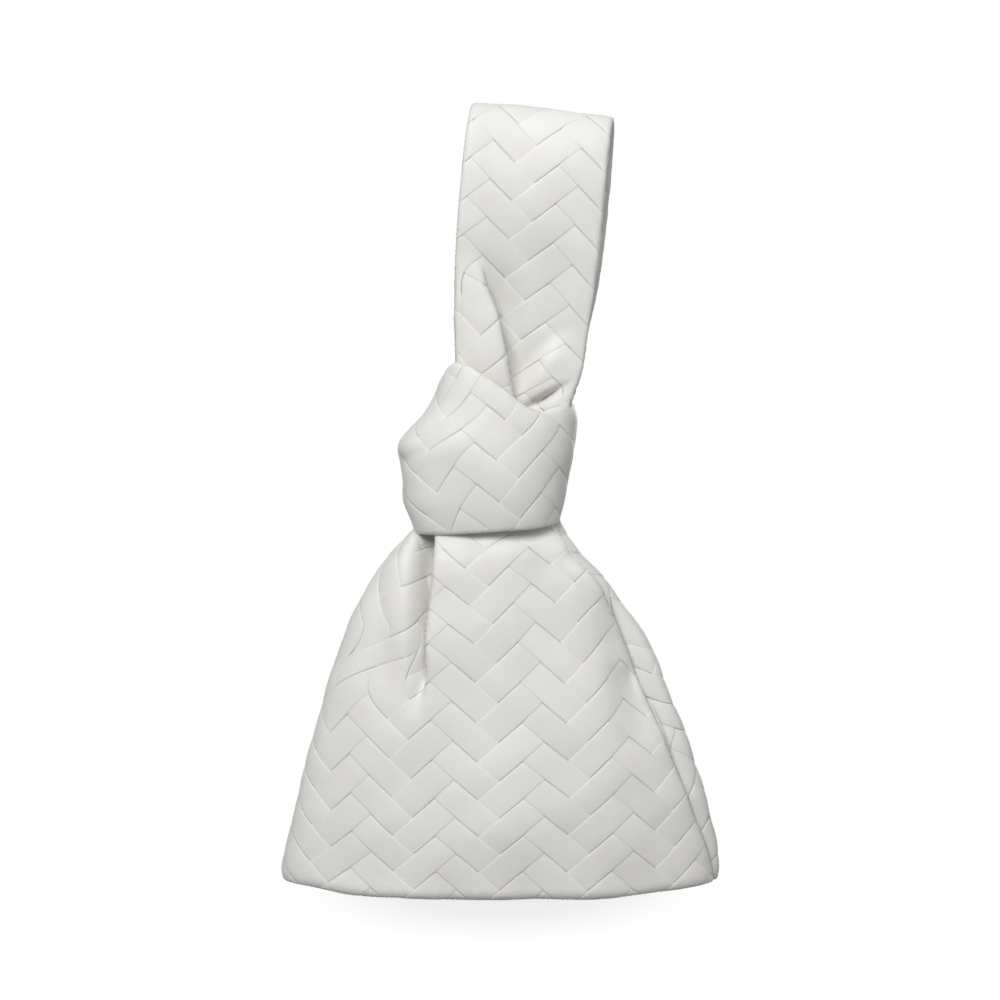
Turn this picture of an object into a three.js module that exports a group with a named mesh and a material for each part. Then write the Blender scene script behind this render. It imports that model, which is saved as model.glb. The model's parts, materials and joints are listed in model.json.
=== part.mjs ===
// Knotted top handle bag in plaited leather: a soft pouch, a knot band that slides on the gathered strap,
// and a wide handle loop. Millimetres, +Z up, front towards -Y, origin under the middle of the base.
import * as THREE from "three";

// Pouch: the front and back panels with their base
const POUCH_WIDTH = 209; // across the bottom corners
const POUCH_DEPTH = 68; // front to back at the belly
const POUCH_HEIGHT = 175; // floor to the foot of the knot
const BASE_ROLL = 10; // radius in which the panels turn under to the base
const CORNER_RADIUS = 4; // bottom corners, seen from the front
const CORNER_LIFT = 5; // the bottom corners stand off the floor
const NECK_SHIFT = -6; // the neck stands this far to the side of the base
const NECK_TUCK = 11; // length of the panels inside the knot

// Leather and its seats
const PANEL_WALL = 2.2; // two crossing plaited strips
const LINING_WALL = 0.9;
const SEAT_GAP = 0.35; // between layers that lie on each other
const RIM_GAP = 0.6; // round the base panel
const BASE_BOARD_WALL = 1.5;
const BASE_BOARD_INSET = 2;

// Side seams, and the mouth slit that each one opens into
const SEAM_WIDTH = 4;
const SEAM_PROUD = 0.4; // the binding stands out of the panels
const MOUTH_FOOT = 103; // height at which a side seam opens into the slit
const MOUTH_WIDTH = 13;
const MOUTH_FLARE = 28; // height in which the slit reaches its full width
const MOUTH_EDGE_WIDTH = 2.4;

// The deep pleat left of the middle of the front
const PLEAT_DEPTH = 6.5;
const PLEAT_WIDTH = 11;
const PLEAT_TOP_X = -30;
const PLEAT_END_X = -41;
const PLEAT_END_Z = 92;

// Knot band
const KNOT_FOOT_WIDTH = 73;
const KNOT_FOOT_DEPTH = 44;
const KNOT_WIDTH = 83;
const KNOT_DEPTH = 53;
const KNOT_CROWN_WIDTH = 66;
const KNOT_CROWN_DEPTH = 45;
const KNOT_SIDE_HEIGHT = 62; // foot to the low side of the crown
const KNOT_PEAK_RISE = 19; // the crown's peak above its low side
const KNOT_PEAK_ANGLE = 115; // degrees from +X, by way of the front
const KNOT_PEAK_SHARPNESS = 3;
const KNOT_FOOT_SLOPE = 2.5; // the foot is this much lower on the left and higher on the right
const KNOT_WALL = 2.4;
const KNOT_LEAN = 10; // the crown's middle lies this far to the right of the foot's
const KNOT_CLEARANCE = 1; // inside the band, round what passes through it
const KNOT_SLIDE = 12; // travel up the strap
const KNOT_SLIDE_LEAN = 14; // degrees

// Handle loop and the strap roots that carry it through the knot
const STRAP_WIDTH = 71.5;
const STRAP_ROOT_WIDTH = 65;
const STRAP_WALL = 2.2;
const STRAP_TAPE_WALL = 0.6;
const ROOT_OFFSET = 1.8; // the gathered strap lies this far to the right in the knot's crown
const ROOT_THICKNESS = 11; // each gathered layer
const ROOT_PLEAT = 1.1; // ridges of the gathers
const ROOT_SPLIT = 0.8; // between the front and the back layer
const LOOP_HEIGHT = 102; // fold line to the top of the loop
const LOOP_DEPTH = 34; // front to back at its widest
const LOOP_TOP_DEPTH = 24; // where the top turns over
const FOLD_RADIUS = 6; // the strap where it bends over the roots
const HANDLE_LEAN = 5; // degrees to the right
const FOLD_X = 11;

// Looks
const WOVEN_LEATHER = { color: 0xdbdbd6, roughness: 0.52, metalness: 0 };
const PLAIN_LEATHER = { color: 0xd6d4ce, roughness: 0.55, metalness: 0 };
const LINING_SUEDE = { color: 0xcfcabf, roughness: 0.9, metalness: 0 };
const BASE_BOARD = { color: 0xa08a6c, roughness: 0.85, metalness: 0 };
const STRAP_TAPE = { color: 0xe4e2dc, roughness: 0.8, metalness: 0 };

const FRONT_COLUMNS = 30;
const BACK_COLUMNS = 22;

const { lerp, smoothstep, degToRad } = THREE.MathUtils;
const bag = new THREE.Group();

// A closed solid between an outer and an inner grid of points. at(u, v, side) gives a point, with side 0
// on the outer face and 1 on the inner one. wrap joins the last column to the first, as on a ring.
function sheet(columns, rows, at, wrap = false) {
  const across = wrap ? columns : columns + 1;
  const points = [];
  const faces = [];
  for (const side of [0, 1]) {
    for (let row = 0; row <= rows; row++) {
      for (let column = 0; column < across; column++) {
        points.push(at(column / columns, row / rows, side));
      }
    }
  }
  const index = (column, row, side) => (side * (rows + 1) + row) * across + (column % across);
  const quad = (a, b, c, d) => faces.push(a, b, c, a, c, d);
  for (let row = 0; row < rows; row++) {
    for (let column = 0; column < columns; column++) {
      const [left, right, low, high] = [column, column + 1, row, row + 1];
      quad(index(left, low, 0), index(right, low, 0), index(right, high, 0), index(left, high, 0));
      quad(index(left, low, 1), index(left, high, 1), index(right, high, 1), index(right, low, 1));
    }
  }
  for (let column = 0; column < columns; column++) {
    const next = column + 1;
    quad(index(column, 0, 0), index(column, 0, 1), index(next, 0, 1), index(next, 0, 0));
    quad(index(column, rows, 0), index(next, rows, 0), index(next, rows, 1), index(column, rows, 1));
  }
  if (!wrap) {
    for (let row = 0; row < rows; row++) {
      const next = row + 1;
      quad(index(0, row, 0), index(0, next, 0), index(0, next, 1), index(0, row, 1));
      quad(index(columns, row, 0), index(columns, row, 1), index(columns, next, 1), index(columns, next, 0));
    }
  }
  return facingOut(points, faces);
}

// A plate that follows the bottom's lift: rings of points shrink from the rim to the middle on each face.
function plate(rim, rings, height, wall) {
  const around = rim.length;
  const perFace = around * rings + 1;
  const points = [];
  const faces = [];
  for (const level of [height, height + wall]) {
    for (let ring = 0; ring < rings; ring++) {
      const share = 1 - ring / rings;
      for (const { x, y } of rim) {
        const lift = cornerLift((2 * x * share) / POUCH_WIDTH);
        points.push(new THREE.Vector3(x * share, y * share, level + lift));
      }
    }
    points.push(new THREE.Vector3(0, 0, level));
  }
  const index = (k, ring, face) => face * perFace + ring * around + (k % around);
  const quad = (a, b, c, d) => faces.push(a, b, c, a, c, d);
  for (let k = 0; k < around; k++) {
    for (let ring = 0; ring < rings - 1; ring++) {
      const [out, into] = [ring, ring + 1];
      quad(index(k, out, 0), index(k, into, 0), index(k + 1, into, 0), index(k + 1, out, 0));
      quad(index(k, out, 1), index(k + 1, out, 1), index(k + 1, into, 1), index(k, into, 1));
    }
    quad(index(k, 0, 0), index(k + 1, 0, 0), index(k + 1, 0, 1), index(k, 0, 1));
    faces.push(index(k, rings - 1, 0), perFace - 1, index(k + 1, rings - 1, 0));
    faces.push(index(k, rings - 1, 1), index(k + 1, rings - 1, 1), 2 * perFace - 1);
  }
  return facingOut(points, faces);
}

// A geometry of shared points, turned round if its faces point inwards.
function facingOut(points, faces) {
  let volume = 0;
  for (let i = 0; i < faces.length; i += 3) {
    const [a, b, c] = [points[faces[i]], points[faces[i + 1]], points[faces[i + 2]]];
    volume += a.dot(new THREE.Vector3().crossVectors(b, c));
  }
  if (volume < 0) {
    for (let i = 0; i < faces.length; i += 3) [faces[i + 1], faces[i + 2]] = [faces[i + 2], faces[i + 1]];
  }
  const geometry = new THREE.BufferGeometry().setFromPoints(points);
  geometry.setIndex(faces);
  geometry.computeVertexNormals();
  return geometry;
}

// The point of a skin, moved in along its normal by the given depth.
function inset(skin, u, v, depth) {
  const step = 1e-3;
  const here = skin(u, v);
  const alongU = skin(u + step, v).sub(skin(u - step, v));
  const alongV = skin(u, v + step).sub(here);
  const normal = alongU.cross(alongV).normalize();
  return here.addScaledVector(normal, depth);
}

function addPiece(name, geometry, look, group = bag) {
  const mesh = new THREE.Mesh(geometry, new THREE.MeshStandardMaterial(look));
  mesh.name = name;
  group.add(mesh);
}

// Pouch

const knotInner = KNOT_WALL + SEAT_GAP + LINING_WALL; // wall of the band with its lining
const slideDrift = KNOT_SLIDE * Math.sin(degToRad(KNOT_SLIDE_LEAN)); // to the right
const slideRise = KNOT_SLIDE * Math.cos(degToRad(KNOT_SLIDE_LEAN));
const neckHalfWidth = KNOT_FOOT_WIDTH / 2 - knotInner - KNOT_CLEARANCE - slideDrift / 2;
const neckHalfDepth = KNOT_FOOT_DEPTH / 2 - knotInner - KNOT_CLEARANCE;

// The pouch's side line above the base roll: the share of the height at each station, and there the share
// of the way from the neck out to the full width and depth.
const POUCH_STATIONS = [
  { climb: 0.2, width: 0.956, depth: 1 },
  { climb: 0.36, width: 0.861, depth: 0.93 },
  { climb: 0.5, width: 0.756, depth: 0.81 },
  { climb: 0.62, width: 0.655, depth: 0.67 },
  { climb: 0.73, width: 0.545, depth: 0.54 },
  { climb: 0.83, width: 0.418, depth: 0.43 },
  { climb: 0.91, width: 0.286, depth: 0.32 },
  { climb: 0.965, width: 0.16, depth: 0.2 },
];

function sidePoint(width, depth, z) {
  const halfWidth = lerp(neckHalfWidth, POUCH_WIDTH / 2, width);
  const halfDepth = lerp(neckHalfDepth, POUCH_DEPTH / 2, depth);
  return new THREE.Vector3(halfWidth, halfDepth, z);
}

const sideLine = new THREE.CatmullRomCurve3([
  sidePoint(1, 0.94, BASE_ROLL),
  ...POUCH_STATIONS.map(({ climb, width, depth }) => sidePoint(width, depth, climb * POUCH_HEIGHT)),
  sidePoint(0, 0, POUCH_HEIGHT),
  sidePoint(0, 0, POUCH_HEIGHT + NECK_TUCK),
]);

// The point of a rising curve at a height.
function atHeight(curve, height) {
  let [low, high] = [0, 1];
  for (let pass = 0; pass < 40; pass++) {
    const middle = (low + high) / 2;
    if (curve.getPoint(middle).z < height) low = middle;
    else high = middle;
  }
  return curve.getPoint((low + high) / 2);
}

// The panels' rows, as rises: from -1 at the base edge to 0 at the top of the base roll, then millimetres
// above the roll. One row lies on the mouth's foot, one on the shoulder and one on the knot's foot.
const LOWER_ROWS = 4;
const FLARE_ROWS = 2;
const UPPER_ROWS = 3;
const SHOULDER = POUCH_STATIONS.at(-1).climb * POUCH_HEIGHT;
const ROLL_RISES = [-1, -0.5, 0];
const spread = (from, to, count) =>
  Array.from({ length: count }, (_, row) => lerp(from, to, (row + 1) / count) - BASE_ROLL);
const RISES = [
  ...ROLL_RISES,
  ...spread(BASE_ROLL, MOUTH_FOOT, LOWER_ROWS),
  ...spread(MOUTH_FOOT, MOUTH_FOOT + MOUTH_FLARE, FLARE_ROWS),
  ...spread(MOUTH_FOOT + MOUTH_FLARE, SHOULDER, UPPER_ROWS),
  POUCH_HEIGHT - BASE_ROLL,
  POUCH_HEIGHT + NECK_TUCK - BASE_ROLL,
];
const MOUTH_ROW = ROLL_RISES.length - 1 + LOWER_ROWS;
const SHOULDER_ROW = MOUTH_ROW + FLARE_ROWS + UPPER_ROWS;

// Half width, half depth and height of the pouch at a rise.
function meridian(rise) {
  if (rise > 0) return atHeight(sideLine, BASE_ROLL + rise);
  const turn = ((1 + rise) * Math.PI) / 2;
  const top = sideLine.getPoint(0);
  const tuck = 1 - Math.sin(turn);
  return new THREE.Vector3(
    top.x - CORNER_RADIUS * tuck,
    top.y - BASE_ROLL * tuck,
    BASE_ROLL * (1 - Math.cos(turn)),
  );
}

// Height of the bottom edge, from 0 over the middle to the full lift at the corners.
const cornerLift = (share) => CORNER_LIFT * smoothstep(Math.abs(share), 0.5, 1.05);

// The neck stands to the side of the base, midway between the places of the knot's foot as it slides.
const shiftAt = (z) => (NECK_SHIFT + slideDrift / 2) * Math.min(1, z / POUCH_HEIGHT) ** 2;

// How far the front pleat draws the panel in.
function pleatAt(x, z) {
  const share = smoothstep(z, PLEAT_END_Z, POUCH_HEIGHT);
  const middle = lerp(PLEAT_END_X, PLEAT_TOP_X, share);
  const fade = smoothstep(z, PLEAT_END_Z, lerp(PLEAT_END_Z, POUCH_HEIGHT, 0.6));
  const release = 1 - smoothstep(z, POUCH_HEIGHT - NECK_TUCK / 2, POUCH_HEIGHT);
  return PLEAT_DEPTH * fade * release * Math.exp(-(((x - middle) / (PLEAT_WIDTH / 2)) ** 2));
}

// The pouch's outer skin. The angle runs from the right-hand side at 0 by way of the front to the left.
function pouchSkin(angle, rise) {
  const { x: halfWidth, y: halfDepth, z } = meridian(rise);
  const x = shiftAt(z) + halfWidth * Math.cos(angle);
  const sine = Math.sin(angle);
  const lift = cornerLift(Math.cos(angle)) * (1 - smoothstep(z, 0, POUCH_HEIGHT / 3));
  const pleat = sine > 0 ? pleatAt(x, z) * Math.min(1, 2 * sine) : 0;
  return new THREE.Vector3(x, -halfDepth * sine + pleat, z + lift);
}

// Angle from a side seam at which the skin lies the given distance in front of or behind the seam.
const seamAngle = (distance, rise) => Math.asin(Math.min(0.95, distance / meridian(rise).y));

const mouthAt = (rise) => MOUTH_WIDTH * smoothstep(BASE_ROLL + rise, MOUTH_FOOT, MOUTH_FOOT + MOUTH_FLARE);

// The front panel draws back from its right-hand seam, and the back panel from the left-hand one.
const PANELS = {
  front: { start: 0, columns: FRONT_COLUMNS },
  back: { start: Math.PI, columns: BACK_COLUMNS },
};

function panelAngle({ start }, share, rise) {
  const from = start + seamAngle(SEAM_WIDTH / 2 + mouthAt(rise), rise);
  const to = start + Math.PI - seamAngle(SEAM_WIDTH / 2, rise);
  return lerp(from, to, share);
}

// A sheet on the rows of the panels from one row to another.
function rowSheet(columns, fromRow, toRow, at) {
  const rows = toRow - fromRow;
  return sheet(columns, rows, (u, v, side) => at(u, RISES[fromRow + Math.round(v * rows)], side));
}

function panelLayer(panel, outer, wall) {
  return rowSheet(panel.columns, 0, RISES.length - 1, (u, rise, side) =>
    inset(pouchSkin, panelAngle(panel, u, rise), rise, outer + side * wall),
  );
}

for (const [side, panel] of Object.entries(PANELS)) {
  addPiece(`${side}_panel`, panelLayer(panel, 0, PANEL_WALL), WOVEN_LEATHER);
  addPiece(`${side}_lining`, panelLayer(panel, PANEL_WALL + SEAT_GAP, LINING_WALL), LINING_SUEDE);
}

// Base: the woven base panel, a stiffening board on it and the lining over that
const BASE_RINGS = 3;

function basePlate(gap, height, wall) {
  const rim = [];
  for (const panel of Object.values(PANELS)) {
    for (let column = 0; column <= panel.columns; column++) {
      const edge = pouchSkin(panelAngle(panel, column / panel.columns, RISES[0]), RISES[0]);
      const outward = new THREE.Vector3(edge.x / POUCH_WIDTH ** 2, edge.y / POUCH_DEPTH ** 2, 0).normalize();
      rim.push(edge.addScaledVector(outward, -gap));
    }
  }
  return plate(rim, BASE_RINGS, height, wall);
}

const boardGap = RIM_GAP + BASE_BOARD_INSET;
const boardHeight = PANEL_WALL + SEAT_GAP;
const baseLiningHeight = boardHeight + BASE_BOARD_WALL + SEAT_GAP;
addPiece("base_panel", basePlate(RIM_GAP, 0, PANEL_WALL), WOVEN_LEATHER);
addPiece("base_board", basePlate(boardGap, boardHeight, BASE_BOARD_WALL), BASE_BOARD);
addPiece("base_lining", basePlate(boardGap, baseLiningHeight, LINING_WALL), LINING_SUEDE);

// Side seam bindings, from the bottom corner to the foot of the mouth
function seamBinding(seam) {
  const halfWidth = SEAM_WIDTH / 2 - SEAT_GAP;
  return rowSheet(2, 0, MOUTH_ROW, (u, rise, side) => {
    const angle = seam + seamAngle(halfWidth, rise) * (2 * u - 1);
    return inset(pouchSkin, angle, rise, lerp(-SEAM_PROUD, PANEL_WALL, side));
  });
}
addPiece("right_seam_binding", seamBinding(0), PLAIN_LEATHER);
addPiece("left_seam_binding", seamBinding(Math.PI), PLAIN_LEATHER);

// Bound edges of the two mouth slits, on the panel that draws back, from where the slit is half open
function mouthEdge({ start }) {
  return rowSheet(1, MOUTH_ROW + 1, SHOULDER_ROW, (u, rise, side) => {
    const far = SEAM_WIDTH / 2 + mouthAt(rise) - SEAT_GAP;
    const angle = start + seamAngle(far - u * MOUTH_EDGE_WIDTH, rise);
    return inset(pouchSkin, angle, rise, lerp(-SEAM_PROUD, PANEL_WALL, side));
  });
}
addPiece("right_mouth_edge", mouthEdge(PANELS.front), PLAIN_LEATHER);
addPiece("left_mouth_edge", mouthEdge(PANELS.back), PLAIN_LEATHER);

// Knot band: one wide band round the neck, with a slanted crown

const knotFoot = POUCH_HEIGHT + SEAT_GAP;
const KNOT_WAIST = 0.58; // share of the side height at which the band is widest
const knotTop = KNOT_SIDE_HEIGHT + KNOT_PEAK_RISE;
const knotLine = new THREE.CatmullRomCurve3([
  new THREE.Vector3(KNOT_FOOT_WIDTH / 2, KNOT_FOOT_DEPTH / 2, 0),
  new THREE.Vector3(KNOT_WIDTH / 2, KNOT_DEPTH / 2, KNOT_WAIST * KNOT_SIDE_HEIGHT),
  new THREE.Vector3(lerp(KNOT_CROWN_WIDTH, KNOT_WIDTH, 0.5) / 2, lerp(KNOT_CROWN_DEPTH, KNOT_DEPTH, 0.7) / 2,
    KNOT_SIDE_HEIGHT * 0.9),
  new THREE.Vector3(KNOT_CROWN_WIDTH / 2, KNOT_CROWN_DEPTH / 2, knotTop),
]);

function knotCrown(angle) {
  const towards = (1 + Math.cos(angle - degToRad(KNOT_PEAK_ANGLE))) / 2;
  return KNOT_SIDE_HEIGHT + KNOT_PEAK_RISE * towards ** KNOT_PEAK_SHARPNESS;
}

// Middle of the strap and of the band at a height above the knot's foot.
const knotMiddle = (height) => NECK_SHIFT + KNOT_LEAN * smoothstep(height, KNOT_SIDE_HEIGHT * 0.4, knotTop);

function knotSkin(angle, climb) {
  const foot = KNOT_FOOT_SLOPE * (1 + Math.cos(angle));
  const height = lerp(foot, knotCrown(angle), climb);
  const { x: halfWidth, y: halfDepth } = atHeight(knotLine, height);
  return new THREE.Vector3(
    knotMiddle(height) + halfWidth * Math.cos(angle),
    -halfDepth * Math.sin(angle),
    knotFoot + height,
  );
}

const KNOT_COLUMNS = 30;
const KNOT_ROWS = 7;
const knotLayer = (outer, wall) =>
  sheet(KNOT_COLUMNS, KNOT_ROWS, (u, v, side) =>
    inset(knotSkin, u * 2 * Math.PI, v, outer + side * wall), true);
addPiece("knot_band", knotLayer(0, KNOT_WALL), WOVEN_LEATHER);
addPiece("knot_lining", knotLayer(KNOT_WALL + SEAT_GAP, LINING_WALL), LINING_SUEDE);

// Strap roots: the strap's front and back layer, gathered through the knot up to the fold

const rootFoot = POUCH_HEIGHT + NECK_TUCK + SEAT_GAP;
const foldZ = knotFoot + knotTop + slideRise + FOLD_RADIUS + KNOT_CLEARANCE;
const rootTop = foldZ - FOLD_RADIUS - SEAT_GAP;
const rootHalfWidth = KNOT_CROWN_WIDTH / 2 - knotInner - KNOT_CLEARANCE;
const ROOT_COLUMNS = 16;
const ROOT_ROWS = 8;

function rootLayer(towards) {
  const gatherEnd = knotFoot + KNOT_SIDE_HEIGHT + slideRise;
  return sheet(ROOT_COLUMNS, ROOT_ROWS, (u, v, side) => {
    const z = lerp(rootFoot, rootTop, v);
    const flare = smoothstep(z, gatherEnd, rootTop);
    const settle = smoothstep(z, rootFoot, gatherEnd);
    const middle = lerp(knotMiddle(z - knotFoot) + ROOT_OFFSET * settle, FOLD_X, flare);
    const halfWidth = lerp(rootHalfWidth, STRAP_ROOT_WIDTH / 2, flare);
    const angle = u * Math.PI;
    const thick = lerp(ROOT_THICKNESS, FOLD_RADIUS - ROOT_SPLIT / 2, flare);
    const crown = 0.35 + 0.65 * Math.sin(angle) ** 0.7;
    const pleats = ROOT_PLEAT * (1 - flare) * Math.cos(7 * angle) * Math.sin(angle);
    const face = side ? 0 : thick * crown + pleats;
    const x = middle + halfWidth * Math.cos(angle);
    const slope = (FOLD_X - x) * Math.tan(degToRad(HANDLE_LEAN)) * v ** 3;
    return new THREE.Vector3(x, towards * (ROOT_SPLIT / 2 + face), z + slope);
  });
}
addPiece("front_strap_root", rootLayer(-1), WOVEN_LEATHER);
addPiece("back_strap_root", rootLayer(1), WOVEN_LEATHER);

// Handle loop: the strap, its tape and its lining, closed at the fold where it bends over the roots

const handle = new THREE.Group();
handle.position.set(FOLD_X, 0, foldZ);
handle.rotation.y = degToRad(HANDLE_LEAN);
bag.add(handle);

// One side of the loop from the fold up to the top, as depth and height. The other side mirrors it.
const LOOP_SIDE = [
  [FOLD_RADIUS * 0.92, -FOLD_RADIUS * 0.45],
  [FOLD_RADIUS * 1.05, FOLD_RADIUS],
  [lerp(FOLD_RADIUS, LOOP_DEPTH / 2, 0.35), LOOP_HEIGHT * 0.26],
  [LOOP_DEPTH / 2, LOOP_HEIGHT * 0.6],
  [LOOP_TOP_DEPTH / 2, LOOP_HEIGHT * 0.88],
];
const loopLine = new THREE.CatmullRomCurve3(
  [
    new THREE.Vector3(0, 0, -FOLD_RADIUS),
    ...LOOP_SIDE.map(([depth, height]) => new THREE.Vector3(0, -depth, height)),
    new THREE.Vector3(0, 0, LOOP_HEIGHT),
    ...[...LOOP_SIDE].reverse().map(([depth, height]) => new THREE.Vector3(0, depth, height)),
  ],
  true,
);

function strapSkin(along, across) {
  const point = loopLine.getPointAt(((along % 1) + 1) % 1);
  const width = lerp(STRAP_ROOT_WIDTH, STRAP_WIDTH, smoothstep(point.z, 0, LOOP_HEIGHT * 0.4));
  return point.setX(width * (across - 0.5));
}

const LOOP_COLUMNS = 36;
const STRAP_ROWS = 3;
const strapLayer = (outer, wall) =>
  sheet(LOOP_COLUMNS, STRAP_ROWS, (u, v, side) => inset(strapSkin, u, v, outer + side * wall), true);
const tapeDepth = STRAP_WALL + SEAT_GAP;
const strapLiningDepth = tapeDepth + STRAP_TAPE_WALL + SEAT_GAP;
addPiece("handle_strap", strapLayer(0, STRAP_WALL), WOVEN_LEATHER, handle);
addPiece("handle_tape", strapLayer(tapeDepth, STRAP_TAPE_WALL), STRAP_TAPE, handle);
addPiece("handle_lining", strapLayer(strapLiningDepth, LINING_WALL), LINING_SUEDE, handle);

export default bag;
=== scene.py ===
import json
import math

import bpy
import numpy as np
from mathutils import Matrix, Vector


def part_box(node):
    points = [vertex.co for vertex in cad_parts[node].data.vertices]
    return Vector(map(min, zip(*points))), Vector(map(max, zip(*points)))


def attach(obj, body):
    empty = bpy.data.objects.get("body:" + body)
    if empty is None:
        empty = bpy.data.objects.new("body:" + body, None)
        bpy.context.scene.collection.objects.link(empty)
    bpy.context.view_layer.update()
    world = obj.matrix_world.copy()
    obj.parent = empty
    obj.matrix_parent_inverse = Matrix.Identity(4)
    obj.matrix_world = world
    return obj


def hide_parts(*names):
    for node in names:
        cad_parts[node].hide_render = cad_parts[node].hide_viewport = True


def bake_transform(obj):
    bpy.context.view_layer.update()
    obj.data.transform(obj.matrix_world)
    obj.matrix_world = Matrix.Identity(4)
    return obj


# Knotted top handle bag in plaited white leather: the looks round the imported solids, in metres
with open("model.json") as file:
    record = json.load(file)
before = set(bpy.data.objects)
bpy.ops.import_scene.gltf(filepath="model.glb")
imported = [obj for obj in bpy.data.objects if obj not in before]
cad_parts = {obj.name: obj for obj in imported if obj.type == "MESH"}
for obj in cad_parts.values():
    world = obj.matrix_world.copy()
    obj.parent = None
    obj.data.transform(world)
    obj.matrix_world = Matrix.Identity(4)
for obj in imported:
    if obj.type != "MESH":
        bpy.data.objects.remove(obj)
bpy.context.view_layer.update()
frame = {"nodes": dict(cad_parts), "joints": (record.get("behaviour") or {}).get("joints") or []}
mm = 0.001
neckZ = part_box("knot_band")[0].z  # foot of the knot
halfWidth = -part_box("front_panel")[0].x
halfDepth = -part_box("front_panel")[0].y
hinge = frame["joints"][0]["pos_m"]  # where the handle bends
print("frame loaded:", len(frame["nodes"]), "nodes")


# Curves and grids of points

def smooth(value, start, end):
    share = np.clip((value - start) / (end - start), 0.0, 1.0)
    return share * share * (3.0 - 2.0 * share)


def bell(distance, width):
    return np.exp(-((distance / width) ** 2))


def through(stations):  # a smooth line through (place, value) stations
    place, value = np.array(stations, float).T
    slope = np.gradient(value, place)

    def line(at):
        at = np.clip(at, place[0], place[-1])
        k = np.clip(np.searchsorted(place, at) - 1, 0, len(place) - 2)
        width = place[k + 1] - place[k]
        s = (at - place[k]) / width
        start = value[k] * (1 + 2 * s) + slope[k] * width * s
        end = value[k + 1] * (3 - 2 * s) - slope[k + 1] * width * (1 - s)
        return start * (1 - s) ** 2 + end * s ** 2

    return line


def unit(vectors):
    return vectors / np.maximum(np.linalg.norm(vectors, axis=-1, keepdims=True), 1e-12)


def outwardOf(points):  # columns run left to right seen from outside, rows run up
    return unit(np.cross(np.gradient(points, axis=1), np.gradient(points, axis=0)))


def runLength(points, axis):
    steps = np.linalg.norm(np.diff(points, axis=axis), axis=-1)
    return np.insert(np.cumsum(steps, axis=axis), 0, 0.0, axis=axis)


def axesOf(points):
    return [points[..., k].copy() for k in range(3)]


def besideLine(x, z, fold):  # distance to the right of a slanting fold line
    return (x - fold["x"]) - fold["slant"] * (z - fold["z"])


def aboveLine(x, z, fold):  # distance above a slanting fold line
    return (z - fold["z"]) - fold["slant"] * (x - fold["x"])


def sway(x, z, wave):  # slow waves over the whole piece
    return wave["out"] * np.sin(x / wave["across"] + wave["left"]) * np.sin(z / wave["up"] + wave["low"])


# A rolled edge turns the sheet in and runs back behind it, so that the strips' ends are out of sight
lip = {
    "radius": 1.15 * mm,
    "turnSteps": 7,
    "run": 9 * mm,  # how far it runs back behind the sheet
    "runSteps": 8,
    "calm": 0.35,  # height of the plait at the edge, as a share of its full height
    "calmWidth": 6 * mm,
}
lipCount = lip["turnSteps"] + lip["runSteps"]


def rolledColumns(points, outward, run=lip["run"]):
    edge = points[:, -1]
    onward = unit(edge - points[:, -2])
    inward = -outward[:, -1]
    turns = np.linspace(0, math.pi, lip["turnSteps"] + 1)[1:]
    roll = [edge + lip["radius"] * (math.sin(a) * onward + (1 - math.cos(a)) * inward) for a in turns]
    fromEdge = (runLength(points, 1)[:, -1:] - runLength(points, 1))[:, ::-1]
    behind = (points - 2 * lip["radius"] * outward)[:, ::-1]
    inside = []
    for way in np.linspace(0, run, lip["runSteps"] + 1)[1:]:  # back along the sheet's own inner side
        line = [[np.interp(way, far, axis) for axis in row.T] for far, row in zip(fromEdge, behind)]
        inside.append(np.array(line))
    return np.concatenate([points, np.stack(roll + inside, axis=1)], axis=1)


def withRolledSides(points, run=lip["run"]):
    points = rolledColumns(points, outwardOf(points), run)
    return rolledColumns(points[:, ::-1], outwardOf(points)[:, ::-1], run)[:, ::-1]


def withRolledTop(points, run=lip["run"]):
    return rolledColumns(points.swapaxes(0, 1), outwardOf(points).swapaxes(0, 1), run).swapaxes(0, 1)


def withRolledFoot(points, outward, run=lip["run"]):
    turned = rolledColumns(points[::-1].swapaxes(0, 1), outward[::-1].swapaxes(0, 1), run)
    return turned.swapaxes(0, 1)[::-1]


def calmed(points, axis, ends):
    # the plait lies flatter towards its rolled edges, which keeps them even
    length = runLength(points, axis)
    share = 1.0
    for end in ends:
        edge = np.take(length, [lipCount if end == "first" else -1 - lipCount], axis=axis)
        inside = length - edge if end == "first" else edge - length
        share = share * smooth(inside, -lip["radius"], lip["calmWidth"])
    return lip["calm"] + (1 - lip["calm"]) * share


padding = {
    "out": 0.45 * mm,
    "across": 9.1 * mm,
    "acrossBend": (1.3, 17 * mm),  # how much the waves bend, and over what height
    "up": 8.3 * mm,
    "upBend": (0.9, 21 * mm),
    "deep": 11 * mm,
}


def lumpy(points):
    # soft unevenness of padded leather
    x, y, z = axesOf(points)
    bend, run = padding["acrossBend"]
    wave = np.sin(x / padding["across"] + bend * np.sin(z / run))
    bend, run = padding["upBend"]
    wave = wave * np.sin(z / padding["up"] + bend * np.sin(x / run) + y / padding["deep"])
    return points + padding["out"] * wave[..., None] * outwardOf(points)


def gridFaces(rowCount, columnCount, wrap=False):
    across = columnCount if wrap else columnCount - 1
    row, column = np.meshgrid(np.arange(rowCount - 1), np.arange(across), indexing="ij")
    nextColumn = (column + 1) % columnCount
    corners = [row * columnCount + column, row * columnCount + nextColumn]
    corners += [(row + 1) * columnCount + nextColumn, (row + 1) * columnCount + column]
    return np.stack(corners, axis=-1).reshape(-1, 4)


def makeMesh(name, points, faces):
    mesh = bpy.data.meshes.new(name)
    mesh.from_pydata(np.asarray(points).reshape(-1, 3).tolist(), [], [list(map(int, f)) for f in faces])
    mesh.update()
    return mesh


def addObject(name, mesh):
    piece = bpy.data.objects.new(name, mesh)
    bpy.context.scene.collection.objects.link(piece)
    return piece


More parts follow.
